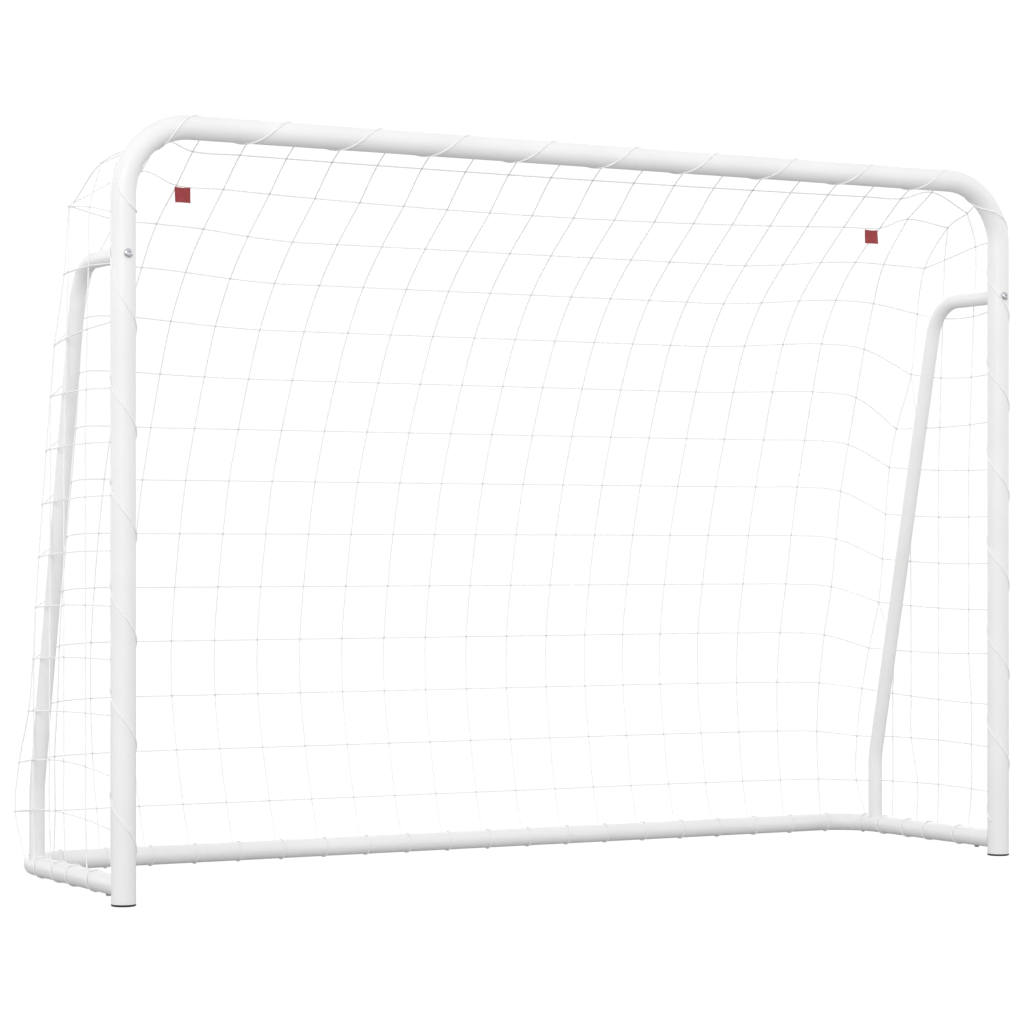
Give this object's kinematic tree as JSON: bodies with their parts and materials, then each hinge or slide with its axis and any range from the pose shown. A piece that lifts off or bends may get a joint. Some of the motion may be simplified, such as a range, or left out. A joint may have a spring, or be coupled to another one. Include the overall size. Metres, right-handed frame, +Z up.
{
  "type": "soccer goal frame",
  "caption": "Small free-standing soccer goal: bent and bolted round steel tube frame with rounded corners, slanted rear stays, a U-shaped base and a laced knotted net.",
  "frame": {"origin": "on the ground, under the middle of the whole goal", "axes": "+X along the goal mouth, to the right as a player faces the goal; +Y to the back of the goal; +Z up"},
  "size_m": [1.7202, 0.5525, 1.2232],
  "materials": {
    "white_tube": "white powder coat, satin",
    "zinc_steel": "zinc plated steel, hidden inside",
    "bright_bolt": "bright zinc plated",
    "black_cap": "black moulded plastic",
    "net_cord": "white twisted cord, knotted",
    "lacing_cord": "white twisted cord",
    "red_tag": "dull red woven tag"
  },
  "bodies": {
    "root": {"crossbar": "white_tube", "post_left": "white_tube", "post_right": "white_tube", "crossbar_sleeve_left": "zinc_steel", "crossbar_sleeve_right": "zinc_steel", "stay_left": "white_tube", "stay_right": "white_tube", "stay_plug_left": "zinc_steel", "stay_plug_right": "zinc_steel", "stay_bolts": "bright_bolt", "base_rear_tube": "white_tube", "base_side_left": "white_tube", "base_side_right": "white_tube", "base_sleeve_left": "zinc_steel", "base_sleeve_right": "zinc_steel", "post_stub_left": "white_tube", "post_stub_right": "white_tube", "base_screws": "bright_bolt", "stay_spigot_left": "white_tube", "stay_spigot_right": "white_tube", "foot_cap_left": "black_cap", "foot_cap_right": "black_cap", "net_roof": "net_cord", "net_back": "net_cord", "net_side_left": "net_cord", "net_side_right": "net_cord", "net_seam_left": "net_cord", "net_seam_right": "net_cord", "net_lacing": "lacing_cord", "net_tag_left": "red_tag", "net_tag_right": "red_tag"}
  },
  "joints": []
}
